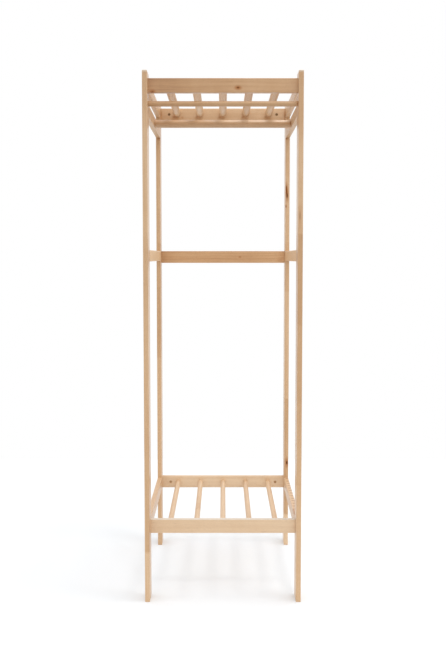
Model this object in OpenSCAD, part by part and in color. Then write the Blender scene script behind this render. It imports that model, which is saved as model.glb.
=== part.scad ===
// Open wardrobe frame in solid birch.
// Two glued side frames, each of two posts and four short rails, are bolted together
// by five cross rails. Round bars between the cross rails make a top and a bottom shelf.
// A thick rod carries the hangers, and a thinner one in front turns freely for a curtain.
// The front faces -Y, and the floor is at Z = 0.

/* [Overall] */
// Outer width across both side frames
body_w = 505; // [400:1:640]
// Outer depth from the front posts to the rear posts
body_d = 560; // [460:1:680]
// Height of the posts
body_h = 1700; // [1560:1:2000]

/* [Posts] */
// Thickness of the posts and side rails, seen from the front
post_t = 16; // [15:0.5:20]
// Depth of a post, front to back
post_d = 58; // [50:1:75]
// Rounding of a post's long edges
post_edge_r = 2; // [0.5:0.25:4]
// Rounding of a post's top corners
post_top_r = 3.5; // [1:0.25:6]
// Rounding of a post's foot corners
post_foot_r = 1.5; // [0.5:0.25:3]

/* [Cross rails] */
// Height of a cross rail
cross_rail_h = 45; // [42:1:60]
// Thickness of a cross rail
cross_rail_t = 16; // [15:0.5:22]
// Rounding of the rails' long edges
rail_edge_r = 1.5; // [0.5:0.25:3]
// Drop from the post tops to the top rails
top_rail_drop = 21.5; // [8:0.5:60]
// Top of the mid rails above the floor
mid_rail_top = 1140; // [700:5:1300]
// Top of the bottom cross rails and side rails above the floor
bottom_rail_top = 266; // [180:1:400]

/* [Side rails] */
// Height of the upper and mid side rails
side_rail_h = 37; // [34:1:50]
// Height of the rails that carry the clothes rod
rod_rail_h = 37; // [34:1:50]
// Open gap between an upper side rail and the rod rail under it
rod_rail_gap = 39; // [30:1:80]
// Height of the bottom side rails
bottom_side_h = 45; // [34:1:60]

/* [Shelves] */
// Diameter of a top shelf bar
top_bar_d = 27; // [20:0.5:30]
// Drop from the top of the top rails to the axes of their shelf bars
top_bar_drop = 17; // [16:0.5:24]
// Diameter of a bottom shelf bar
bottom_bar_d = 18; // [14:0.5:24]
// Distance from a cross rail's end to the axis of the outermost shelf bar
shelf_bar_inset = 63; // [58:0.5:90]
// Depth of the blind seats for the shelf bars
shelf_bar_seat = 9; // [5:0.5:11]

/* [Clothes rod] */
// Diameter of the clothes rod
clothes_rod_d = 27; // [22:0.5:28]
// How far the clothes rod's axis sits below the middle of its rails
clothes_rod_drop = 4.5; // [0:0.5:5]
// Rounding of the sharp ends of every rod, bar and pin
turned_chamfer = 0.8; // [0.2:0.1:1.5]
// Shank diameter of the screws that hold the clothes rod
rod_screw_d = 5; // [4:0.5:6]
// Length of the screws that hold the clothes rod
rod_screw_l = 50; // [40:1:70]

/* [Curtain rod] */
// Diameter of the curtain rod
curtain_rod_d = 17; // [14:0.5:25]
// Drop from the top of the top rails to the curtain rod's axis
curtain_rod_drop = 78.5; // [62:0.5:200]
// Depth of the blind sockets for the curtain rod
curtain_socket = 8; // [5:0.5:10]

/* [Joint bolts] */
// Thread diameter of the joint bolts
bolt_d = 6; // [5:0.5:7]
// Diameter of a bolt's countersunk head
bolt_head_d = 12; // [10:0.5:14]
// Size across the flats of a bolt's hex socket
bolt_key = 4; // [3:0.5:4]
// Diameter of a barrel nut
nut_d = 10; // [9:0.5:12]
// Length of a barrel nut
nut_l = 10; // [9:0.5:14]
// Distance from a rail's end to its barrel nut
nut_setback = 33; // [30:1:38]

/* [Wooden pins] */
// Diameter of the wooden pins
pin_d = 8; // [6:0.5:8]
// Centre distance between the two pins in a cross rail's end
cross_pin_pitch = 28; // [24:0.5:30]
// Centre distance between the two pins in a side rail's end
side_pin_pitch = 16; // [14:0.5:20]
// Depth of a cross rail's pins in the post
cross_pin_in_post = 10; // [6:0.5:11]
// Depth of a cross rail's pins in the rail
cross_pin_in_rail = 20; // [14:0.5:24]
// Depth of a side rail's pins in the post and in the rail
side_pin_seat = 16; // [10:0.5:18]

/* [Fits] */
// Gap all round a glued or threaded piece in its bore
seat_gap = 0.1; // [0.08:0.01:0.2]
// Gap all round the curtain rod in its sockets
running_gap = 0.06; // [0.03:0.01:0.1]
// Gap all round a bolt or screw shank in its clearance hole
shank_gap = 0.3; // [0.2:0.05:0.5]
// Free space past the end of each piece in a blind bore
end_gap = 0.5; // [0.3:0.1:1]

/* [Hidden] */
$fn = 64;

BIRCH = [0.87, 0.71, 0.52];
PALE_BIRCH = [0.91, 0.78, 0.61];
BEECH = [0.80, 0.60, 0.42];
STEEL = [0.72, 0.72, 0.74];

LEFT = -1;
RIGHT = 1;
FRONT = -1;
REAR = 1;
SHELF_BARS = 5;

// Overshoot of a cutting tool past the face that it enters
CUT = 1;

inner_half_w = body_w / 2 - post_t;
post_x = body_w / 2 - post_t / 2;
post_y = body_d / 2 - post_d / 2;
post_gap = body_d - 2 * post_d;

// Top of each rail level
top_rail_top = body_h - top_rail_drop;
rod_rail_top = top_rail_top - side_rail_h - rod_rail_gap;

// Middle of each rail level
top_rail_z = top_rail_top - cross_rail_h / 2;
mid_rail_z = mid_rail_top - cross_rail_h / 2;
bottom_rail_z = bottom_rail_top - cross_rail_h / 2;
upper_side_z = top_rail_top - side_rail_h / 2;
rod_rail_z = rod_rail_top - rod_rail_h / 2;
mid_side_z = mid_rail_top - side_rail_h / 2;
bottom_side_z = bottom_rail_top - bottom_side_h / 2;

// Axes of the bars and rods
top_bar_z = top_rail_top - top_bar_drop;
bottom_bar_z = bottom_rail_z;
clothes_rod_z = rod_rail_z - clothes_rod_drop;
curtain_rod_z = top_rail_top - curtain_rod_drop;

BOLTED_LEVELS = [top_rail_z, bottom_rail_z];
FRONT_LEVELS = [top_rail_z, bottom_rail_z];
REAR_LEVELS = [top_rail_z, mid_rail_z, bottom_rail_z];
SIDE_LEVELS = [upper_side_z, rod_rail_z, mid_side_z, bottom_side_z];

// A countersunk head has a cone of 90 degrees, so its height is half the step in diameter
bolt_head_h = (bolt_head_d - bolt_d) / 2;
bolt_key_depth = bolt_head_h - 0.4;
bolt_overrun = 1.5;
bolt_l = post_t + nut_setback + nut_d / 2 + bolt_overrun;
nut_slot_w = 1.4;
nut_slot_depth = 1.2;
rod_screw_head_d = 2 * rod_screw_d;
rod_screw_head_h = (rod_screw_head_d - rod_screw_d) / 2;
rod_screw_tip = 6;
rod_screw_slot_w = 1.2;
rod_screw_slot_depth = 1.8;
head_sink = 0.2;

// Section of a planed board, w wide and h high, with its four corners eased
module eased_section(w, h, r) {
    square([w - 2 * r, h], center = true);
    square([w, h - 2 * r], center = true);
    for (x = [-1, 1], y = [-1, 1])
        translate([x * (w / 2 - r), y * (h / 2 - r)])
            circle(r);
}

// Upright outline of a post, w wide, with rounded top and foot corners
module post_outline(w) {
    translate([-w / 2, post_foot_r])
        square([w, body_h - post_foot_r - post_top_r]);
    translate([-w / 2 + post_foot_r, 0])
        square([w - 2 * post_foot_r, body_h / 2]);
    translate([-w / 2 + post_top_r, body_h / 2])
        square([w - 2 * post_top_r, body_h / 2]);
    for (x = [-1, 1]) {
        translate([x * (w / 2 - post_foot_r), post_foot_r])
            circle(post_foot_r);
        translate([x * (w / 2 - post_top_r), body_h - post_top_r])
            circle(post_top_r);
    }
}

// Round bar along +Z from the origin, with chamfered ends
module turned_bar(d, l) {
    c = turned_chamfer;
    rotate_extrude()
        polygon([[0, 0], [d / 2 - c, 0], [d / 2, c], [d / 2, l - c], [d / 2 - c, l], [0, l]]);
}

// Turns a child that points along +Z so that it points along +X or -X
module along_x(side) {
    rotate([0, side * 90, 0])
        children();
}

// Turns a child that points along +Z so that it points along +Y or -Y
module along_y(side) {
    rotate([-side * 90, 0, 0])
        children();
}

// Blind bore along +Z from a face at the origin
module blind_bore(d, depth) {
    translate([0, 0, -CUT])
        cylinder(d = d, h = depth + CUT);
}

// Two parallel bores one above the other, for the pins of one rail end
module pin_bores(side, depth, pitch) {
    for (z = [-1, 1])
        translate([0, 0, z * pitch / 2])
            if (side[0] != 0)
                along_x(side[0]) blind_bore(pin_d + 2 * seat_gap, depth);
            else
                along_y(side[1]) blind_bore(pin_d + 2 * seat_gap, depth);
}

// Clearance hole with a countersink at the origin, along +Z, for a flush head
module countersunk_hole(shank_d, head_d, l) {
    wide = head_d + 2 * seat_gap;
    narrow = shank_d + 2 * shank_gap;
    translate([0, 0, -CUT])
        cylinder(d = narrow, h = l + 2 * CUT);
    translate([0, 0, -CUT])
        cylinder(d = wide, h = CUT + head_sink);
    translate([0, 0, head_sink])
        cylinder(d1 = wide, d2 = narrow, h = (wide - narrow) / 2);
}

// Post of one corner, drilled for its rails and, in front, for the curtain rod
module post(side, face) {
    cross_levels = face == FRONT ? FRONT_LEVELS : REAR_LEVELS;
    color(BIRCH)
        translate([side * post_x, face * post_y, 0])
            difference() {
                intersection() {
                    linear_extrude(body_h)
                        eased_section(post_t, post_d, post_edge_r);
                    translate([0, post_d, 0])
                        rotate([90, 0, 0])
                            linear_extrude(2 * post_d)
                                post_outline(post_t);
                    translate([-post_t, 0, 0])
                        rotate([90, 0, 90])
                            linear_extrude(2 * post_t)
                                post_outline(post_d);
                }
                for (z = cross_levels)
                    translate([-side * post_t / 2, 0, z])
                        pin_bores([side, 0], cross_pin_in_post, cross_pin_pitch);
                for (z = SIDE_LEVELS)
                    translate([0, -face * post_d / 2, z])
                        pin_bores([0, face], side_pin_seat, side_pin_pitch);
                for (z = BOLTED_LEVELS)
                    translate([side * post_t / 2, 0, z])
                        along_x(-side) countersunk_hole(bolt_d, bolt_head_d, post_t);
                if (face == FRONT)
                    translate([-side * post_t / 2, 0, curtain_rod_z])
                        along_x(side) blind_bore(curtain_rod_d + 2 * running_gap, curtain_socket);
            }
}

// Cross rail centred at height z between two posts, with pins at both ends. A bolted one
// also takes the joint bolts, and one with a bar_d takes the ends of a shelf's bars.
module cross_rail(face, z, bolted, bar_d, bar_z) {
    color(BIRCH)
        translate([0, face * post_y, z])
            difference() {
                translate([-inner_half_w, 0, 0])
                    rotate([90, 0, 90])
                        linear_extrude(2 * inner_half_w)
                            eased_section(cross_rail_t, cross_rail_h, rail_edge_r);
                for (side = [LEFT, RIGHT])
                    translate([side * inner_half_w, 0, 0]) {
                        pin_bores([-side, 0], cross_pin_in_rail, cross_pin_pitch);
                        if (bolted)
                            bolt_and_nut_bores(side, face);
                    }
                if (bar_d > 0)
                    for (i = [1:SHELF_BARS])
                        translate([shelf_bar_x(i), -face * cross_rail_t / 2, bar_z - z])
                            along_y(face) blind_bore(bar_d + 2 * seat_gap, shelf_bar_seat);
            }
}

// Cross rail of the top shelf
module top_rail(face) {
    cross_rail(face, top_rail_z, true, top_bar_d, top_bar_z);
}

// Cross rail of the bottom shelf
module bottom_rail(face) {
    cross_rail(face, bottom_rail_z, true, bottom_bar_d, bottom_bar_z);
}

// Cross rail that stiffens the rear, with no shelf and no bolts
module mid_rail() {
    cross_rail(REAR, mid_rail_z, false, 0, 0);
}

// Bore for a bolt in a rail's end, and the cross bore for its nut in the rail's inner face
module bolt_and_nut_bores(side, face) {
    along_x(-side)
        blind_bore(bolt_d + 2 * shank_gap, nut_setback + nut_d / 2 + bolt_overrun + end_gap);
    translate([-side * nut_setback, -face * cross_rail_t / 2, 0])
        along_y(face)
            blind_bore(nut_d + 2 * seat_gap, (cross_rail_t + nut_l) / 2 + end_gap);
}

// Side rail of height h centred at height z, flush with its posts and pinned into them
module side_rail(side, z, h) {
    color(BIRCH)
        translate([side * post_x, 0, z])
            difference() {
                side_rail_blank(h);
                for (face = [FRONT, REAR])
                    translate([0, face * post_gap / 2, 0])
                        pin_bores([0, -face], side_pin_seat, side_pin_pitch);
            }
}

// Plain side rail before drilling
module side_rail_blank(h) {
    translate([0, post_gap / 2, 0])
        rotate([90, 0, 0])
            linear_extrude(post_gap)
                eased_section(post_t, h, rail_edge_r);
}

// Side rail that carries one end of the clothes rod, with the hole for its screw
module rod_rail(side) {
    color(BIRCH)
        difference() {
            side_rail(side, rod_rail_z, rod_rail_h);
            translate([side * body_w / 2, 0, clothes_rod_z])
                along_x(-side) countersunk_hole(rod_screw_d, rod_screw_head_d, post_t);
        }
}

// Place of shelf bar i, counted from the left, with even steps between the outermost two
function shelf_bar_x(i) = (2 * (i - 1) / (SHELF_BARS - 1) - 1) * (inner_half_w - shelf_bar_inset);

// Shelf bar i of diameter d at height z, glued into the front and rear rails
module shelf_bar(i, d, z) {
    half = post_y - cross_rail_t / 2 + shelf_bar_seat - end_gap;
    color(PALE_BIRCH)
        translate([shelf_bar_x(i), -half, z])
            along_y(REAR) turned_bar(d, 2 * half);
}

// Clothes rod, butted between the rod rails and screwed through them
module clothes_rod() {
    bite = rod_screw_l + head_sink - post_t + end_gap;
    color(PALE_BIRCH)
        difference() {
            translate([-inner_half_w, 0, clothes_rod_z])
                along_x(RIGHT) turned_bar(clothes_rod_d, 2 * inner_half_w);
            for (side = [LEFT, RIGHT])
                translate([side * inner_half_w, 0, clothes_rod_z])
                    along_x(-side) blind_bore(rod_screw_d + 2 * seat_gap, bite);
        }
}

// Curtain rod, loose in the sockets of the two front posts
module curtain_rod() {
    half = inner_half_w + curtain_socket - end_gap;
    color(PALE_BIRCH)
        translate([-half, -post_y, curtain_rod_z])
            along_x(RIGHT) turned_bar(curtain_rod_d, 2 * half);
}

// Bolt along +Z from the face that it is sunk into, with a countersunk hex socket head
module joint_bolt() {
    r = bolt_d / 2;
    tip = 0.8;
    translate([0, 0, head_sink])
        difference() {
            rotate_extrude()
                polygon([
                    [0, 0],
                    [bolt_head_d / 2, 0],
                    [r, bolt_head_h],
                    [r, bolt_l - head_sink - tip],
                    [r - tip, bolt_l - head_sink],
                    [0, bolt_l - head_sink]
                ]);
            translate([0, 0, -CUT])
                cylinder(d = bolt_key / cos(30), h = CUT + bolt_key_depth, $fn = 6);
        }
}

// Eight joint bolts, two in each bolted cross rail
module joint_bolts() {
    color(STEEL)
        for (side = [LEFT, RIGHT], face = [FRONT, REAR], z = BOLTED_LEVELS)
            translate([side * body_w / 2, face * post_y, z])
                along_x(-side) joint_bolt();
}

// Barrel nut centred at the origin: its cross hole lies along X, and its slot faces +Z
module barrel_nut() {
    difference() {
        cylinder(d = nut_d, h = nut_l, center = true);
        along_x(RIGHT)
            cylinder(d = bolt_d + 2 * seat_gap, h = nut_d + 2 * CUT, center = true);
        translate([-nut_d / 2 - CUT, -nut_slot_w / 2, nut_l / 2 - nut_slot_depth])
            cube([nut_d + 2 * CUT, nut_slot_w, nut_slot_depth + CUT]);
    }
}

// Eight barrel nuts, pushed into the cross rails from inside the wardrobe
module barrel_nuts() {
    color(STEEL)
        for (side = [LEFT, RIGHT], face = [FRONT, REAR], z = BOLTED_LEVELS)
            translate([side * (inner_half_w - nut_setback), face * post_y, z])
                along_y(-face) barrel_nut();
}

// Countersunk wood screw along +Z from the face that it is sunk into, with a cross recess
module rod_screw() {
    r = rod_screw_d / 2;
    translate([0, 0, head_sink])
        difference() {
            rotate_extrude()
                polygon([
                    [0, 0],
                    [rod_screw_head_d / 2, 0],
                    [r, rod_screw_head_h],
                    [r, rod_screw_l - rod_screw_tip],
                    [0, rod_screw_l]
                ]);
            for (turn = [0, 90])
                rotate([0, 0, turn])
                    translate([-rod_screw_d / 2, -rod_screw_slot_w / 2, -CUT])
                        cube([rod_screw_d, rod_screw_slot_w, CUT + rod_screw_slot_depth]);
        }
}

// One screw through each rod rail into the end of the clothes rod
module rod_screws() {
    color(STEEL)
        for (side = [LEFT, RIGHT])
            translate([side * body_w / 2, 0, clothes_rod_z])
                along_x(-side) rod_screw();
}

// Pins that locate every cross rail on its posts
module cross_rail_pins() {
    l = cross_pin_in_post + cross_pin_in_rail - 2 * end_gap;
    color(BEECH)
        for (side = [LEFT, RIGHT], face = [FRONT, REAR])
            for (z = face == FRONT ? FRONT_LEVELS : REAR_LEVELS, step = [-1, 1])
                translate([
                    side * (inner_half_w + cross_pin_in_post - end_gap),
                    face * post_y,
                    z + step * cross_pin_pitch / 2
                ])
                    along_x(-side) turned_bar(pin_d, l);
}

// Pins that hold every side rail in its posts
module side_rail_pins() {
    l = 2 * (side_pin_seat - end_gap);
    color(BEECH)
        for (side = [LEFT, RIGHT], face = [FRONT, REAR], z = SIDE_LEVELS, step = [-1, 1])
            translate([
                side * post_x,
                face * (post_gap / 2 + side_pin_seat - end_gap),
                z + step * side_pin_pitch / 2
            ])
                along_y(-face) turned_bar(pin_d, l);
}

post(LEFT, FRONT);  // post_front_left
post(RIGHT, FRONT);  // post_front_right
post(LEFT, REAR);  // post_rear_left
post(RIGHT, REAR);  // post_rear_right
top_rail(FRONT);  // top_front_rail
top_rail(REAR);  // top_rear_rail
mid_rail();  // mid_rear_rail
bottom_rail(FRONT);  // bottom_front_rail
bottom_rail(REAR);  // bottom_rear_rail
side_rail(LEFT, upper_side_z, side_rail_h);  // upper_side_rail_left
side_rail(RIGHT, upper_side_z, side_rail_h);  // upper_side_rail_right
rod_rail(LEFT);  // rod_rail_left
rod_rail(RIGHT);  // rod_rail_right
side_rail(LEFT, mid_side_z, side_rail_h);  // mid_side_rail_left
side_rail(RIGHT, mid_side_z, side_rail_h);  // mid_side_rail_right
side_rail(LEFT, bottom_side_z, bottom_side_h);  // bottom_side_rail_left
side_rail(RIGHT, bottom_side_z, bottom_side_h);  // bottom_side_rail_right
for (i = [1:SHELF_BARS]) {
    shelf_bar(i, top_bar_d, top_bar_z);
    shelf_bar(i, bottom_bar_d, bottom_bar_z);
}
clothes_rod();
curtain_rod();
joint_bolts();
barrel_nuts();
rod_screws();
cross_rail_pins();
side_rail_pins();
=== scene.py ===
import math
import random

import bpy
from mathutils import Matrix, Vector


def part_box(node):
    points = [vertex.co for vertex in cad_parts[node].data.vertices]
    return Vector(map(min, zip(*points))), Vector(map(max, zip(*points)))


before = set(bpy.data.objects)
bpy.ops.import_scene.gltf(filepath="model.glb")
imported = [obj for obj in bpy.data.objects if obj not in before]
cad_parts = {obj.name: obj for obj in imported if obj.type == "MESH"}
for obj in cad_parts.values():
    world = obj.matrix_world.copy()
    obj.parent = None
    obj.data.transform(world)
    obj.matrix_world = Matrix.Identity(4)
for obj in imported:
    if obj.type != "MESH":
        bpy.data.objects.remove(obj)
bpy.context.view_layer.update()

# Looks of an open birch wardrobe frame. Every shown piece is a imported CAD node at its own
# place. This script gives each one its own board, cut and seeded by itself, and adds the
# studio: a white floor, soft lamps and the camera. Lengths are in metres.

MM = 0.001


def middle(node_name):
    """The middle of a CAD node's box."""
    low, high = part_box(node_name)
    return (low + high) / 2


def colour(r, g, b):
    """An sRGB colour in 0 to 255, as the linear values that a shader takes."""
    values = [v / 255 for v in (r, g, b)]
    return tuple(v / 12.92 if v < 0.04045 else ((v + 0.055) / 1.055) ** 2.4
                 for v in values) + (1.0,)


CREAM = colour(236, 208, 173)
BIRCH = colour(213, 175, 133)
HONEY = colour(190, 145, 98)
TAN = colour(156, 110, 70)
KNOT_RING = colour(168, 100, 46)
KNOT_CORE = colour(84, 42, 14)
END_GRAIN = colour(170, 128, 90)
PORE = colour(120, 80, 50)
WARM = colour(255, 241, 220)
# A pale sheen, painted where light from above catches a top
PAINTED_SHEEN = colour(220, 207, 190)

# Wood tones from 0, creamy, to 1, tan
TONES = [(0.0, CREAM), (0.42, BIRCH), (0.80, HONEY), (1.0, TAN)]

# A Mix node in colour mode has its sockets for numbers and vectors first
MIX_A, MIX_B, MIX_RESULT = 6, 7, 2


class Net:
    """A node tree. Its calls add nodes to it, and most of them return the new output."""

    def __init__(self, tree):
        self.tree = tree
        self.tree.nodes.clear()

    def add(self, kind, **settings):
        node = self.tree.nodes.new("ShaderNode" + kind)
        for key, value in settings.items():
            setattr(node, key, value)
        return node

    def plug(self, socket, value):
        if isinstance(value, bpy.types.NodeSocket):
            self.tree.links.new(value, socket)
        else:
            socket.default_value = value

    def plug_all(self, node, values):
        for socket, value in zip(node.inputs, values):
            self.plug(socket, value)

    def math(self, operation, *values, clamp=False):
        node = self.add("Math", operation=operation, use_clamp=clamp)
        self.plug_all(node, values)
        return node.outputs[0]

    def plus(self, a, b, clamp=False):
        return self.math("ADD", a, b, clamp=clamp)

    def minus(self, a, b):
        return self.math("SUBTRACT", a, b)

    def times(self, a, b):
        return self.math("MULTIPLY", a, b)

    def higher(self, a, b):
        return self.math("MAXIMUM", a, b)

    def lower(self, a, b):
        return self.math("MINIMUM", a, b)

    def vector(self, operation, *values):
        node = self.add("VectorMath", operation=operation)
        self.plug_all(node, values)
        return node.outputs["Value" if operation == "LENGTH" else "Vector"]

    def split(self, vector):
        node = self.add("SeparateXYZ")
        self.plug(node.inputs[0], vector)
        return list(node.outputs)

    def join(self, x, y, z):
        node = self.add("CombineXYZ")
        self.plug_all(node, (x, y, z))
        return node.outputs[0]

    def noise(self, place, per_metre, detail=2.0, roughness=0.5, distortion=0.0):
        """Noise from 0 to 1 with that many features in a metre along each axis of place."""
        node = self.add("TexNoise")
        self.plug(node.inputs["Vector"], self.vector("MULTIPLY", place, per_metre))
        node.inputs["Scale"].default_value = 1.0
        node.inputs["Detail"].default_value = detail
        node.inputs["Roughness"].default_value = roughness
        node.inputs["Distortion"].default_value = distortion
        return node.outputs["Fac"]

    def step(self, value, start, end, low=0.0, high=1.0):
        """A smooth step from low to high while value goes from start to end."""
        node = self.add("MapRange", interpolation_type="SMOOTHSTEP", clamp=True)
        self.plug_all(node, (value, start, end, low, high))
        return node.outputs[0]

    def ramp(self, value, stops):
        node = self.add("ValToRGB")
        points = node.color_ramp.elements
        while len(points) < len(stops):
            points.new(1.0)
        for point, (place, shade) in zip(points, stops):
            point.position = place
            point.color = shade
        self.plug(node.inputs[0], value)
        return node.outputs[0]

    def mix(self, amount, a, b, blend="MIX"):
        node = self.add("Mix", data_type="RGBA", blend_type=blend, clamp_factor=True)
        self.plug(node.inputs[0], amount)
        self.plug(node.inputs[MIX_A], a)
        self.plug(node.inputs[MIX_B], b)
        return node.outputs[MIX_RESULT]

    def total(self, *terms):
        """The sum of (share, value) terms, with each value counted from its middle, 0.5."""
        result = None
        for share, value in terms:
            part = self.times(self.minus(value, 0.5), share)
            result = part if result is None else self.plus(result, part)
        return result

    def bump(self, height, strength, distance):
        node = self.add("Bump")
        node.inputs["Strength"].default_value = strength
        node.inputs["Distance"].default_value = distance
        self.plug(node.inputs["Height"], height)
        return node.outputs[0]

    def show(self, output, result):
        """Ends the tree in that kind of output node."""
        self.plug(self.add(output).inputs["Surface"], result)


class MaterialNet(Net):
    """The node tree of one new material."""

    def __init__(self, name):
        self.material = bpy.data.materials.new(name)
        self.material.use_nodes = True
        super().__init__(self.material.node_tree)

    def finish(self, shader_output):
        self.show("OutputMaterial", shader_output)
        return self.material


# The axes that are along, across and deep in a board whose fibres follow that axis
GRAIN_ORDER = {"X": (0, 2, 1), "Y": (1, 2, 0), "Z": (2, 0, 1)}

# Noises of the wood: features in a metre along, across and deep, then detail, roughness and
# distortion where they aren't the usual ones
NOISES = {
    "sway": ((2.2, 9.0, 9.0), 2.0),
    "broad": ((1.6, 32.0, 32.0), 2.0),
    "band": ((3.0, 150.0, 150.0), 3.0, 0.55),
    "streak": ((9.0, 620.0, 620.0), 2.0, 0.6),
    "fibre": ((40.0, 2600.0, 2600.0), 2.0, 0.6),
    "flame": ((38.0, 16.0, 16.0), 1.0, 0.4, 0.6),
    "fleck": ((34.0, 330.0, 330.0), 1.0),
    "pore": ((210.0, 4200.0, 4200.0), 0.0),
    "wander": ((8.0, 60.0, 60.0), 2.0),
    "wear": ((14.0, 60.0, 60.0), 3.0),
}

# Finger joints: the pitch and length of the fingers, half the length over which the tone
# changes at a joint or drifts within a stick, and the glue line's dark core and soft edge
FINGER_PITCH = 3.8 * MM
FINGER_LENGTH = 10 * MM
JOINT_BLUR = 0.01 * MM
DRIFT_BLUR = 40 * MM
GLUE_CORE, GLUE_EDGE = 0.15 * MM, 0.6 * MM
GLUE_SHARE = 0.8
# How far the tones' ramp goes past the ends of the board
RAMP_MARGIN = 0.05
# How far the grain of one stick may be shifted from the next one's, and a whole board's
STICK_SHIFT = (7.0, 0.9, 1.3)
BOARD_SHIFT = 3

# Spots of painted shade are drawn the same way as knots
# Knots: their depth against their width, how wide and how far the fibres go round them, how
# ragged their rim is, from which to which radius the ring and the core fade, the ring's
# share, its part that even a long knot has, and how fast the core starts over which darkness
KNOT_DEPTH = 0.8
BEND_FALL = -0.12
BEND_PUSH = 1.6
KNOT_RAGGED = 0.9
RING_FADE = (0.9, 4.0)
CORE_FADE = (0.55, 1.20)
RING_SHARE, RING_LEAST = 0.85, 0.35
CORE_GAIN, CORE_START = 1.6, 0.4

# Year rings: how far off their pith is, how much they sway, how far they tilt over a metre,
# how far apart they are, and how narrow their dark late wood is. Ranges are in millimetres.
PITH_REACH = (35, 95)
RING_SWAY = 26 * MM
RING_TILT = 0.018
RING_GAP = (2.0, 3.0)
LATE_POWER = 4.0

# How much each noise and the late wood darken the wood, and which of them a bold grain
# strengthens
SHADE_SHARES = {"broad": 0.34, "band": 0.30, "streak": 0.20, "fibre": 0.12, "flame": 0.10}
FIGURED = ("band", "streak", "fibre")
LATE_SHARE = 0.10
# Pores and flecks: between which noises each one shows, and how strongly
PORE_EDGE, PORE_SHARE = (0.66, 0.74), 0.35
FLECK_EDGE, FLECK_SHARE = (0.70, 0.78), 0.40

# Curly stripes: their pitch and wander, their part of a wave, how far up a face looks that
# has them, how far from the board's inner face its outer part starts, their share on the
# inner part, and how far from its front end the browner stripes fade
CURL_PITCH = 30 * MM
CURL_WANDER = 20 * MM
CURL_EDGE = (0.0, 0.7)
CURL_UPWARD = (0.4, 0.8)
CURL_OUTER = (4.5 * MM, 7.5 * MM)
CURL_INNER_SHARE = 0.25
CURL_FRONT = (72 * MM, 117 * MM)

# Eased edges: how far handling has worn them, in which noises, how much paler and smoother
WORN_EDGE = (0.4 * MM, 2.6 * MM)
WEAR_EDGE = (0.42, 0.62)
WORN_PALE, WORN_SMOOTH = 0.30, 0.10

# End grain: how squarely a face has to cut the fibres, how much darker and rougher it is
SAWN_EDGE = (0.55, 0.9)
SAWN_DARK, SAWN_ROUGH = 0.55, 0.2

# How far up a face looks that has a painted top highlight, where light from above falls
HIGHLIGHT_UPWARD = (0.05, 0.5)

# Painted sheen on a post's round top, where light catches it: its start and whole, under the
# top, and its share
SHEEN_CAP_START, SHEEN_CAP_WHOLE = 10 * MM, 2 * MM
SHEEN_CAP_SHARE = 0.65

# How much lacquer gleams on a board of each grain axis, and how rough that lacquer is
BOARD_COATS = {"X": 0.95, "Y": 0.22, "Z": 0.65}
COAT_ROUGHNESS = {"X": 0.42, "Y": 0.42, "Z": 0.32}

# The wood under it: its gloss, its roughness and what makes that uneven, and the relief of
# its fibres, late wood and pores
WOOD_IOR = 1.5
WOOD_SPECULAR = 0.5
WOOD_ROUGHNESS, STREAK_ROUGH, FLAME_ROUGH = 0.44, 0.16, 0.10
FIBRE_HEIGHT, LATE_HEIGHT, PORE_DEPTH = 0.5, 0.25, 0.5
WOOD_BUMP, WOOD_BUMP_DEPTH = 0.35, 0.12 * MM


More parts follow.
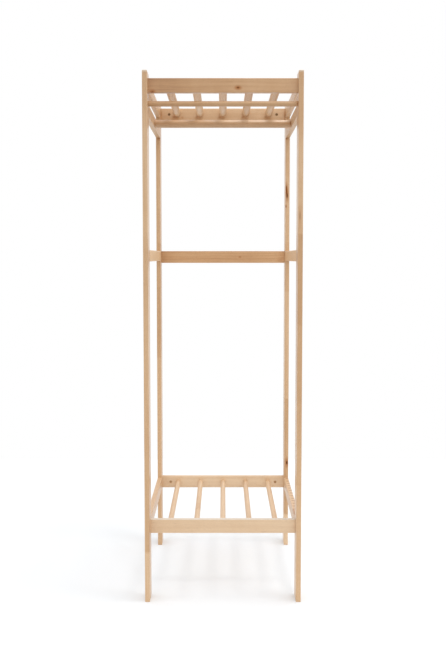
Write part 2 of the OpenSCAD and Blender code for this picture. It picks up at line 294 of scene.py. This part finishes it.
class Birch(MaterialNet):
    """The wood of one CAD node. Its axes run along its fibres, across them and deep into the
    tree, and its random draws come from its own seed."""

    def __init__(self, node_name, grain, seed):
        super().__init__("birch_" + node_name)
        self.draw = random.Random(seed)
        self.low, self.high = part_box(node_name)
        self.middle = middle(node_name)
        self.order = GRAIN_ORDER[grain]
        found = self.add("TexCoord")
        self.place = found.outputs["Object"]
        self.facing = self.split(found.outputs["Normal"])
        self.along, self.across, self.deep = self.own_axes(self.split(self.place))

    def own_axes(self, values):
        """Values for X, Y and Z, as those for along, across and deep."""
        return [values[i] for i in self.order]

    def sticks(self, tone, joints):
        """Cuts the board into sticks at its finger joints. Returns the tone along it, how the
        grain of each stick is shifted, and how dark its glue lines are, or None."""
        low_along, _, low_deep = self.own_axes(self.low)
        high_along = self.own_axes(self.high)[0]
        half_pitch = FINGER_PITCH / 2
        zigzag = self.times(self.math("PINGPONG", self.deep, half_pitch),
                            FINGER_LENGTH / half_pitch)
        # On the front face a joint is at its own place, so the zigzag counts from there
        turn = low_deep / FINGER_PITCH - 0.5
        at_front = FINGER_LENGTH * abs(2 * (turn - math.floor(turn)) - 1)
        stepped = self.plus(self.along, self.minus(zigzag, at_front))

        start, end = low_along - RAMP_MARGIN, high_along + RAMP_MARGIN
        length = end - start
        stick = (tone, self.draw.random(), self.draw.random(), 1.0)
        stops = [(0.0, stick)]
        for at, next_tone, dark in joints:
            drifts = dark is None
            blur = DRIFT_BLUR if drifts else JOINT_BLUR
            stops.append(((at - blur - start) / length, stick))
            lot = stick[1:3] if drifts else (self.draw.random(), self.draw.random())
            stick = (next_tone, *lot, 1.0)
            stops.append(((at + blur - start) / length, stick))
        if not joints:
            return tone, stick[:3], None

        pick = self.add("SeparateColor")
        share = self.math("DIVIDE", self.minus(stepped, start), length)
        self.plug(pick.inputs[0], self.ramp(share, stops))
        stick_tone, shift_a, shift_b = pick.outputs[:3]
        glue = None
        for at, _, dark in joints:
            if dark:
                away = self.math("ABSOLUTE", self.minus(stepped, at))
                line = self.step(away, GLUE_CORE, GLUE_EDGE, dark, 0.0)
                glue = line if glue is None else self.higher(glue, line)
        return stick_tone, self.join(shift_a, shift_b, shift_a), glue

    def bend_round(self, knots):
        """Bends the fibres round each knot, and also round each spot of painted shade in the
        same list. Returns how far off each one is, in its radii, with its darkness and how
        much shorter than wide it is."""
        spots = []
        bend = None
        for spot, radius_mm, dark, squat in knots:
            radius = radius_mm * MM
            u, v, w = self.own_axes(self.split(self.vector("SUBTRACT", self.place, spot)))
            flat = self.join(self.times(u, squat), v, self.times(w, KNOT_DEPTH))
            reach = self.math("DIVIDE", self.vector("LENGTH", flat), radius)
            spots.append((reach, dark, squat))
            pull = self.math("EXPONENT", self.times(self.math("POWER", reach, 2.0), BEND_FALL))
            push = self.times(pull, self.times(self.math("SIGN", v), BEND_PUSH * radius))
            bend = push if bend is None else self.plus(bend, push)
        if bend is not None:
            self.across = self.minus(self.across, bend)
        return spots

    def lay_grain(self, shift, figure):
        """Draws the board's place in its tree: its noises, and its year rings round a pith
        that lies outside it and wanders a little."""
        board = self.join(self.along, self.across, self.deep)
        board = self.vector("ADD", board, self.vector("MULTIPLY", shift, STICK_SHIFT))
        board = self.vector("ADD", board, tuple(
            self.draw.uniform(-BOARD_SHIFT, BOARD_SHIFT) for _ in range(3)))
        self.noises = {name: self.noise(board, *look) for name, look in NOISES.items()}

        _, centre_across, centre_deep = self.own_axes(self.middle)
        angle = self.draw.uniform(0, 2 * math.pi)
        reach = self.draw.uniform(*PITH_REACH) * MM
        tilt = self.draw.uniform(-RING_TILT, RING_TILT)
        gap = self.draw.uniform(*RING_GAP) * figure * MM
        sway = self.times(self.minus(self.noises["sway"], 0.5), RING_SWAY)
        drift = self.plus(sway, self.times(self.along, tilt))
        side = self.minus(self.across, centre_across + reach * math.cos(angle))
        back = self.minus(self.deep, centre_deep + reach * math.sin(angle))
        distance = self.vector("LENGTH", self.join(0.0, self.plus(side, drift), back))
        year = self.math("FRACT", self.math("DIVIDE", distance, gap))
        self.late = self.math("POWER", year, LATE_POWER)

    def bare_face(self, tone, figure, warm):
        """The colour of the planed wood."""
        shade = self.total(*(
            (share * figure if name in FIGURED else share, self.noises[name])
            for name, share in SHADE_SHARES.items()))
        shade = self.plus(shade, self.times(self.late, LATE_SHARE * figure ** 2))
        face = self.ramp(self.plus(shade, tone, clamp=True), TONES)
        self.pore = self.step(self.noises["pore"], *PORE_EDGE)
        fleck = self.step(self.noises["fleck"], *FLECK_EDGE)
        face = self.mix(self.times(self.pore, PORE_SHARE), face, PORE)
        face = self.mix(self.times(fleck, FLECK_SHARE), face, TAN)
        return self.mix(warm, face, WARM, "MULTIPLY") if warm else face

    def curly(self, face, curl):
        """Short stripes across the grain on the top of a side rail on the right, mostly on its
        outer part."""
        front, _, inner = self.own_axes(self.low)
        wander = self.times(self.noises["wander"], CURL_WANDER)
        turn = self.times(self.plus(self.along, wander), 2 * math.pi / CURL_PITCH)
        stripe = self.step(self.math("SINE", turn), *CURL_EDGE)
        stripe = self.times(stripe, self.step(self.facing[2], *CURL_UPWARD))
        outer = self.step(self.deep, *(inner + v for v in CURL_OUTER), CURL_INNER_SHARE, 1.0)
        stripe = self.times(stripe, outer)
        near = self.step(self.along, *(front + v for v in CURL_FRONT), 1.0, 0.0)
        face = self.mix(self.times(stripe, curl), face, TAN)
        return self.mix(self.times(self.times(stripe, near), curl), face, KNOT_RING)

    def worn_edges(self):
        """Where handling has polished and paled the eased edges, here and there."""
        half = (self.high - self.low) / 2
        off = self.vector("ABSOLUTE", self.vector("SUBTRACT", self.place, tuple(self.middle)))
        a, b, c = self.split(self.vector("SUBTRACT", tuple(half), off))
        second_least = self.higher(self.lower(a, b), self.lower(self.higher(a, b), c))
        rim = self.step(second_least, *WORN_EDGE, 1.0, 0.0)
        return self.times(rim, self.step(self.noises["wear"], *WEAR_EDGE))

    def paint_knots(self, face, spots):
        """Rings and cores of each knot, and of each spot of painted shade in the same list. A
        faint one has no dark core. Returns the colour and how much of the gloss is left, since
        a knot, and a spot of painted shade too, takes less of it."""
        gleam = 1.0
        for reach, dark, squat in spots:
            rough_rim = self.times(self.minus(self.noises["band"], 0.5), KNOT_RAGGED)
            ragged = self.plus(reach, rough_rim)
            ring_share = RING_SHARE * dark * min(1.0, RING_LEAST + squat)
            core_share = min(max(CORE_GAIN * (dark - CORE_START), 0.0), 1.0)
            ring = self.step(ragged, *RING_FADE, ring_share, 0.0)
            core = self.step(ragged, *CORE_FADE, core_share, 0.0)
            face = self.mix(ring, face, KNOT_RING)
            face = self.mix(core, face, KNOT_CORE)
            gleam = self.times(gleam, self.minus(1.0, self.higher(ring, core)))
        return face, gleam


def wood(node_name, grain, tone, seed, joints=(), knots=(), turned=False, curl=0.0, coat=0.22,
         pale_top=None, warm=0.0, figure=1.0):
    """Birch for one CAD node. grain is the axis that its fibres follow, and seed gives it a
    figure of its own. tone goes from 0, creamy, to 1, tan. joints are finger joints: (place
    along the grain, tone after it, darkness of its glue line), or where the last is None the
    same stick drifts to that tone. Each knot, and each spot of painted shade where another
    part shades this board, is (place, radius in millimetres, darkness, how much shorter along
    the grain). turned stock has no eased edges that wear. curl is how dark the short stripes
    of a curly figure are, which run across the grain. coat is how much lacquer gleams on it. A
    painted top highlight, where light from above falls on upward faces, is (shade, share,
    start, whole), and starts and is whole at those places along the grain. warm is how much
    more orange the wood is, and figure is how bold its grain is."""
    net = Birch(node_name, grain, seed)
    tone, shift, glue = net.sticks(tone, joints)
    spots = net.bend_round(knots)
    net.lay_grain(shift, figure)
    face = net.bare_face(tone, figure, warm)
    if curl:
        face = net.curly(face, curl)

    # End grain drinks in the lacquer: it is darker and duller
    toward_end = net.math("ABSOLUTE", net.own_axes(net.facing)[0])
    sawn = net.step(toward_end, *SAWN_EDGE)
    face = net.mix(net.times(sawn, SAWN_DARK), face, END_GRAIN, "MULTIPLY")
    # Painted sheen on a post's round top, where light from above catches it
    if grain == "Z":
        top = net.high[2]
        cap = net.step(net.along, top - SHEEN_CAP_START, top - SHEEN_CAP_WHOLE, 0.0, SHEEN_CAP_SHARE)
        face = net.mix(cap, face, PAINTED_SHEEN)

    streak, flame, fibre = (net.noises[name] for name in ("streak", "flame", "fibre"))
    uneven = net.total((STREAK_ROUGH, streak), (FLAME_ROUGH, flame))
    rough = net.plus(net.plus(WOOD_ROUGHNESS, uneven), net.times(sawn, SAWN_ROUGH))
    if not turned:
        worn = net.worn_edges()
        face = net.mix(net.times(worn, WORN_PALE), face, CREAM)
        rough = net.minus(rough, net.times(worn, WORN_SMOOTH))
    if glue is not None:
        face = net.mix(net.times(glue, GLUE_SHARE), face, KNOT_RING)
    # Painted highlight on upward faces, where light from above falls
    if pale_top:
        pale, share, start, whole = pale_top
        upward = net.times(net.step(net.facing[2], *HIGHLIGHT_UPWARD),
                           net.step(net.along, start, whole))
        face = net.mix(net.times(upward, share), face, pale)
    face, gleam = net.paint_knots(face, spots)

    shader = net.add("BsdfPrincipled")
    shader.inputs["IOR"].default_value = WOOD_IOR
    shader.inputs["Coat Roughness"].default_value = COAT_ROUGHNESS[grain]
    net.plug(shader.inputs["Coat Weight"], net.times(gleam, coat) if spots else coat)
    net.plug(shader.inputs["Specular IOR Level"],
             net.times(gleam, WOOD_SPECULAR) if spots else WOOD_SPECULAR)
    net.plug(shader.inputs["Base Color"], face)
    net.plug(shader.inputs["Roughness"], rough)
    height = net.plus(net.times(fibre, FIBRE_HEIGHT), net.times(net.late, LATE_HEIGHT))
    height = net.minus(height, net.times(net.pore, PORE_DEPTH))
    net.plug(shader.inputs["Normal"], net.bump(height, WOOD_BUMP, WOOD_BUMP_DEPTH))
    return net.finish(shader.outputs[0])


# Steel: its mottle and turning marks as noises, between which mottles it is duller and how
# much, and how rough and deep both make it
MOTTLE = ((260.0, 260.0, 260.0), 3.0, 0.6)
MARKS = ((900.0, 4000.0, 4000.0), 1.0)
MOTTLE_EDGE = (0.35, 0.7)
STEEL_DULL = 0.8
MOTTLE_ROUGH, MARKS_ROUGH = 0.25, 0.12
STEEL_BUMP, STEEL_BUMP_DEPTH = 0.3, 0.05 * MM
# Pieces above this band are painted darker, as painted shade: up there they reflect darker
# things
UPPER_BAND = (0.8, 0.9)


def duller(shade):
    return tuple(STEEL_DULL * v for v in shade[:3]) + (1.0,)


def steel(name, base, roughness, upper=None):
    """Zinc-plated steel with the faint mottle of its plating and fine turning marks. upper is
    a darker colour painted on the pieces in the top half of the frame: painted shade, for the
    darker things that they reflect there."""
    net = MaterialNet(name)
    place = net.add("TexCoord").outputs["Object"]
    mottle = net.noise(place, *MOTTLE)
    marks = net.noise(place, *MARKS)
    shade, dull = base, duller(base)
    if upper is not None:
        raised = net.step(net.split(place)[2], *UPPER_BAND)
        shade, dull = net.mix(raised, base, upper), net.mix(raised, dull, duller(upper))
    shader = net.add("BsdfPrincipled")
    shader.inputs["Metallic"].default_value = 1.0
    patches = net.step(mottle, *MOTTLE_EDGE)
    uneven = net.total((MOTTLE_ROUGH, mottle), (MARKS_ROUGH, marks))
    net.plug(shader.inputs["Base Color"], net.mix(patches, shade, dull))
    net.plug(shader.inputs["Roughness"], net.plus(roughness, uneven))
    bump = net.bump(net.plus(mottle, marks), STEEL_BUMP, STEEL_BUMP_DEPTH)
    net.plug(shader.inputs["Normal"], bump)
    return net.finish(shader.outputs[0])


def dress(node_name, material):
    """Gives a CAD node its material in every slot."""
    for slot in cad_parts[node_name].material_slots:
        slot.material = material


def plank(node_name, *look, **more):
    """Dresses a CAD node in birch of its own. look and more are as for wood()."""
    dress(node_name, wood(node_name, *look, **more))


# Faces that knots and stains lie on
POST_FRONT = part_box("post_front_left")[0].y
REAR_POST_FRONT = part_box("post_rear_left")[0].y
POST_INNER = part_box("post_front_right")[0].x
TOP_RAIL_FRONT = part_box("top_front_rail")[0].y
REAR_RAIL_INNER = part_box("top_rear_rail")[0].y
BOTTOM_RAIL_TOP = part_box("bottom_side_rail_right")[1].z

# Painted shade where bars and posts shade the top rear rail: under each bar's end, beside it,
# at both ends
TOP_BARS = [middle(f"top_shelf_bar_{i}") for i in range(1, 6)]
BAR_END_SHADE = [((bar.x - 5.5 * MM, REAR_RAIL_INNER, bar.z - 19.5 * MM), 2.3, 0.46, 0.45)
              for bar in TOP_BARS]
BAR_SHADOWS = [((bar.x - 11.5 * MM, REAR_RAIL_INNER, bar.z - 14.5 * MM), 1.5, 0.44, 0.8)
               for bar in TOP_BARS]
RAIL_END_SHADE = [((side * (POST_INNER - 1.5 * MM), REAR_RAIL_INNER, 1.6530), 6.0, 0.50, 3.0)
              for side in (-1, 1)]
# How far from the post the painted shade at a rod's right end is
ROD_SHADE_GAP = 0.7 * MM


def rod_end_shade(node_name, *look):
    """Painted shade on a rod's front, by its right end where the post shades it, as a knot for
    wood().
    """
    low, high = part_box(node_name)
    axis = middle(node_name)
    front = axis.y - (high.z - low.z) / 2
    return ((POST_INNER - ROD_SHADE_GAP, front, axis.z), *look)


# Each board: grain axis, tone and seed, and what else wood() says of it
BOARDS = {
    "post_front_left": ("Z", 0.32, 11, dict(
        joints=[(0.161, 0.54, 0.3), (0.575, 0.42, 0.2), (0.652, 0.42, 0.1),
                (0.960, 0.51, None), (1.032, 0.51, 0.2), (1.170, 0.36, None),
                (1.560, 0.56, None)])),
    "post_front_right": ("Z", 0.35, 12, dict(
        joints=[(0.387, 0.44, 0.9), (0.530, 0.51, None), (0.652, 0.56, 0.1),
                (0.902, 0.64, 0.2), (1.190, 0.38, 0.1), (1.245, 0.30, None),
                (1.365, 0.34, 0.3), (1.500, 0.56, None)],
        knots=[((0.2425, POST_FRONT, 1.247), 1.6, 0.66, 0.11)], warm=0.15)),
    "post_rear_left": ("Z", 0.38, 13, dict(
        joints=[(0.731, 0.59, 0.1), (1.000, 0.52, 0.2), (1.167, 0.42, 0.2),
                (1.500, 0.60, None)],
        # The spot at 1.5655 is painted shade under the rod rail's end, not a knot
        knots=[((-0.2392, REAR_POST_FRONT, 1.5655), 2.6, 0.6, 1.0)], warm=0.15)),
    "post_rear_right": ("Z", 0.10, 14, dict(
        joints=[(0.1235, 0.50, 0.2), (0.420, 0.60, None), (0.571, 0.34, 0.3),
                (0.750, 0.29, None), (0.984, 0.44, 0.2), (1.172, 0.35, 0.1),
                (1.423, 0.36, 0.2)],
        knots=[((0.2398, REAR_POST_FRONT, 1.376), 1.9, 1.0, 0.20),
               ((0.2413, REAR_POST_FRONT, 1.363), 1.9, 1.0, 0.20),
               ((0.2430, REAR_POST_FRONT, 1.350), 2.1, 1.0, 0.22),
               ((0.2385, REAR_POST_FRONT, 1.309), 1.5, 0.8, 0.6),
               ((0.2466, REAR_POST_FRONT, 0.325), 3.0, 1.0, 0.40),
               # The last spot, at 1.5655, is painted shade under the rod rail's end, not a
               # knot
               ((0.2392, REAR_POST_FRONT, 1.5655), 2.6, 0.6, 1.0)], warm=0.15)),
    "top_front_rail": ("X", 0.82, 15, dict(
        joints=[(-0.120, 0.68, None), (0.040, 0.57, None), (0.195, 0.48, None)],
        knots=[((0.0475, TOP_RAIL_FRONT, 1.6488), 2.6, 0.9, 0.62),
               ((-0.2212, TOP_RAIL_FRONT, 1.6365), 2.4, 0.70, 0.62)],
        warm=0.3, figure=1.35)),
    "top_rear_rail": ("X", 0.54, 16, dict(
        joints=[(-0.130, 0.46, None), (0.050, 0.40, None), (0.200, 0.34, None)],
        # The faint spot right of the first bar and the lists after it are painted shade, not
        # knots
        knots=[((-0.1537, REAR_RAIL_INNER, 1.6443), 1.5, 0.4, 0.8)]
        + BAR_END_SHADE + BAR_SHADOWS + RAIL_END_SHADE)),
    "mid_rear_rail": ("X", 0.62, 17, dict(
        joints=[(-0.190, 0.46, None), (0.150, 0.30, None)],
        knots=[((0.0654, REAR_RAIL_INNER, 1.1176), 1.5, 0.6, 0.7),
               # The second spot is painted shade at the rail's right end, by the post, not a
               # knot
               ((0.2185, REAR_RAIL_INNER, 1.1061), 2.6, 0.22, 0.6)],
        warm=0.9, figure=1.7)),
    "bottom_front_rail": ("X", 0.26, 18, dict(
        joints=[(0.100, 0.20, None), (0.200, 0.12, None)],
        # Painted sheen on the rail's top face, where it reflects the bright studio
        pale_top=(PAINTED_SHEEN, 0.85, -0.31, -0.30))),
    "bottom_rear_rail": ("X", 0.14, 19, dict(
        joints=[(-0.170, 0.13, None), (0.170, 0.05, None)])),
    "upper_side_rail_left": ("Y", 0.54, 20, dict()),
    "upper_side_rail_right": ("Y", 0.45, 21, dict(coat=0.45)),
    "rod_rail_left": ("Y", 0.45, 22, dict()),
    "rod_rail_right": ("Y", 0.45, 23, dict()),
    "mid_side_rail_left": ("Y", 0.06, 24, dict(coat=0.0, warm=0.6)),
    "mid_side_rail_right": ("Y", 0.16, 25, dict(coat=0.0, warm=0.6)),
    "bottom_side_rail_left": ("Y", 0.42, 26, dict(coat=0.60)),
    "bottom_side_rail_right": ("Y", 0.42, 27, dict(
        knots=[((0.2380, y, BOTTOM_RAIL_TOP), 1.5, 0.75, 0.35)
               for y in (-0.164, -0.184, -0.203)], curl=0.7, coat=0.55)),
}
for node_name, (grain, tone, seed, more) in BOARDS.items():
    plank(node_name, grain, tone, seed, **{"coat": BOARD_COATS[grain], **more})

# Top bars are darker in front of this place. Tones are for the front and the rear.
TOP_BAR_DRIFT = 0.04
TOP_BAR_TONES = ((0.40, 0.22), (0.32, 0.16), (0.44, 0.26), (0.58, 0.45), (0.46, 0.28))
BOTTOM_BAR_TONES = (0.30, 0.28, 0.25, 0.34, 0.28)
BOTTOM_BAR_JOINTS = {2: [(-0.107, 0.44, 0.2), (-0.0415, 0.28, 0.2)]}
TOP_BAR_SEED, BOTTOM_BAR_SEED = 30, 40
for i, (front_tone, rear_tone) in enumerate(TOP_BAR_TONES, 1):
    plank(f"top_shelf_bar_{i}", "Y", front_tone, TOP_BAR_SEED + i,
          [(TOP_BAR_DRIFT, rear_tone, None)], turned=True, warm=0.35)
for i, tone in enumerate(BOTTOM_BAR_TONES, 1):
    plank(f"bottom_shelf_bar_{i}", "Y", tone, BOTTOM_BAR_SEED + i,
          BOTTOM_BAR_JOINTS.get(i, ()), turned=True, coat=0.50)

# Painted highlight: the clothes rod's top is painted paler right of its middle, where the lamp
# above lights it
plank("clothes_rod", "X", 0.62, 51, knots=[rod_end_shade("clothes_rod", 3.0, 0.6, 1.8)],
      turned=True, coat=0.95, pale_top=(CREAM, 0.45, -0.080, 0.0))
plank("curtain_rod", "X", 0.72, 52, [(-0.05, 0.60, None), (0.17, 0.50, None)],
      [rod_end_shade("curtain_rod", 2.2, 0.7, 1.6)], turned=True, coat=0.50)
plank("cross_rail_pins", "X", 0.80, 53, turned=True)
plank("side_rail_pins", "Y", 0.80, 54, turned=True)
dress("joint_bolts", steel("zinc_bolts", colour(206, 208, 212), 0.30))
# The nuts' second colour is painted shade on those in the top half of the frame
dress("barrel_nuts", steel("zinc_nuts", colour(200, 160, 118), 0.48,
                           upper=colour(150, 118, 84)))
dress("rod_screws", steel("zinc_screws", colour(200, 200, 204), 0.32))

# Studio: a white floor that keeps the shadow, and a world that is white where it is seen
FLOOR_REACH = 1.5
FLOOR_SHADE = (0.79, 0.80, 0.81, 1.0)
FLOOR_GLOW_SHADE = (0.90, 1.0, 1.10, 1.0)
FLOOR_GLOW = 0.147
WORLD_ABOVE, WORLD_BELOW = 0.98, 0.56
HORIZON = (-0.06, 0.06)


def seen(net):
    """1 for the rays that look at a backdrop, 0 for those that gather its light."""
    path = net.add("LightPath")
    looks = net.higher(path.outputs["Is Camera Ray"], path.outputs["Is Glossy Ray"])
    return net.higher(looks, path.outputs["Is Transmission Ray"])


def white_floor():
    mesh = bpy.data.meshes.new("studio_floor")
    corners = [(x * FLOOR_REACH, y * FLOOR_REACH, 0)
               for x, y in ((-1, -1), (1, -1), (1, 1), (-1, 1))]
    mesh.from_pydata(corners, [], [(0, 1, 2, 3)])
    floor = bpy.data.objects.new("studio_floor", mesh)
    bpy.context.scene.collection.objects.link(floor)
    net = MaterialNet("studio_floor")
    matt = net.add("BsdfDiffuse")
    matt.inputs["Color"].default_value = FLOOR_SHADE
    glow = net.add("Emission")
    glow.inputs["Color"].default_value = FLOOR_GLOW_SHADE
    net.plug(glow.inputs["Strength"], net.times(seen(net), FLOOR_GLOW))
    both = net.add("AddShader")
    net.plug_all(both, (matt.outputs[0], glow.outputs[0]))
    mesh.materials.append(net.finish(both.outputs[0]))


def studio_world(above, below):
    """White where it is looked at. As a light it is above, and below where the floor ends, so
    that the floor lights the lower parts more than the upper ones."""
    world = bpy.data.worlds.new("studio")
    bpy.context.scene.world = world
    world.use_nodes = True
    net = Net(world.node_tree)
    sky = net.add("Background")
    sky.inputs["Color"].default_value = (1.0, 1.0, 1.0, 1.0)
    rise = net.split(net.add("TexCoord").outputs["Generated"])[2]
    light = net.step(rise, *HORIZON, below, above)
    missing = net.minus(1.0, light)
    net.plug(sky.inputs["Strength"], net.plus(light, net.times(missing, seen(net))))
    net.show("OutputWorld", sky.outputs[0])


def add_lamp(name, light, facing, track, place=(0.0, 0.0, 0.0)):
    """Adds a lamp at place, with its track axis turned to facing."""
    lamp = bpy.data.objects.new(name, light)
    lamp.location = place
    lamp.rotation_mode = "QUATERNION"
    lamp.rotation_quaternion = Vector(facing).to_track_quat(track, "Y")
    bpy.context.scene.collection.objects.link(lamp)


def soft_lamp(name, toward, level, spread):
    """A distant soft box. toward points from the object to it, level is what it adds to a
    white face square to it, and spread is how wide it looks, in degrees."""
    light = bpy.data.lights.new(name, "SUN")
    light.energy = level * math.pi
    light.angle = math.radians(spread)
    add_lamp(name, light, toward, "Z")


def near_lamp(name, place, target, level, size):
    """A round soft box at place, turned to target, where it adds level to a white face square
    to it. It is nearer to the top of the object, and lights that more than the floor."""
    aim = Vector(target) - Vector(place)
    light = bpy.data.lights.new(name, "AREA")
    light.shape = "DISK"
    light.size = size
    light.energy = level * math.pi ** 2 * aim.length_squared
    add_lamp(name, light, aim, "-Z", place)


def camera():
    """The photograph's view, from a pinhole fit to the frame's edges. Sizes in pixels are of
    an image 446 wide and 669 high, whose longer side is the sensor's 36 mm."""
    sensor = 36.0
    image_height = 669.0
    focal = 778.4
    axis_row = 304.74
    pitch = 0.0615
    distance = 2.4615
    aside, eye_height = 0.0003, 1.1183
    data = bpy.data.cameras.new("camera")
    data.sensor_width = sensor
    data.lens = sensor * focal / image_height
    data.shift_y = -(image_height / 2 - axis_row) / image_height
    data.clip_start = 0.05
    data.clip_end = 60.0
    eye = bpy.data.objects.new("camera", data)
    eye.location = (aside, POST_FRONT - distance, eye_height)
    eye.rotation_euler = (math.pi / 2 - pitch, 0.0, 0.0)
    bpy.context.scene.collection.objects.link(eye)
    bpy.context.scene.camera = eye


white_floor()
studio_world(WORLD_ABOVE, WORLD_BELOW)
soft_lamp("lamp_front_top", toward=(0.16, -0.64, 1.0), level=0.075, spread=8)
soft_lamp("lamp_right", toward=(1.0, -0.30, 1.0), level=0.095, spread=34)
near_lamp("lamp_overhead", place=(0.57, -0.25, 3.70), target=(0.0, 0.0, 1.60), level=0.36,
          size=0.70)
camera()
bpy.context.scene.view_settings.view_transform = "Standard"
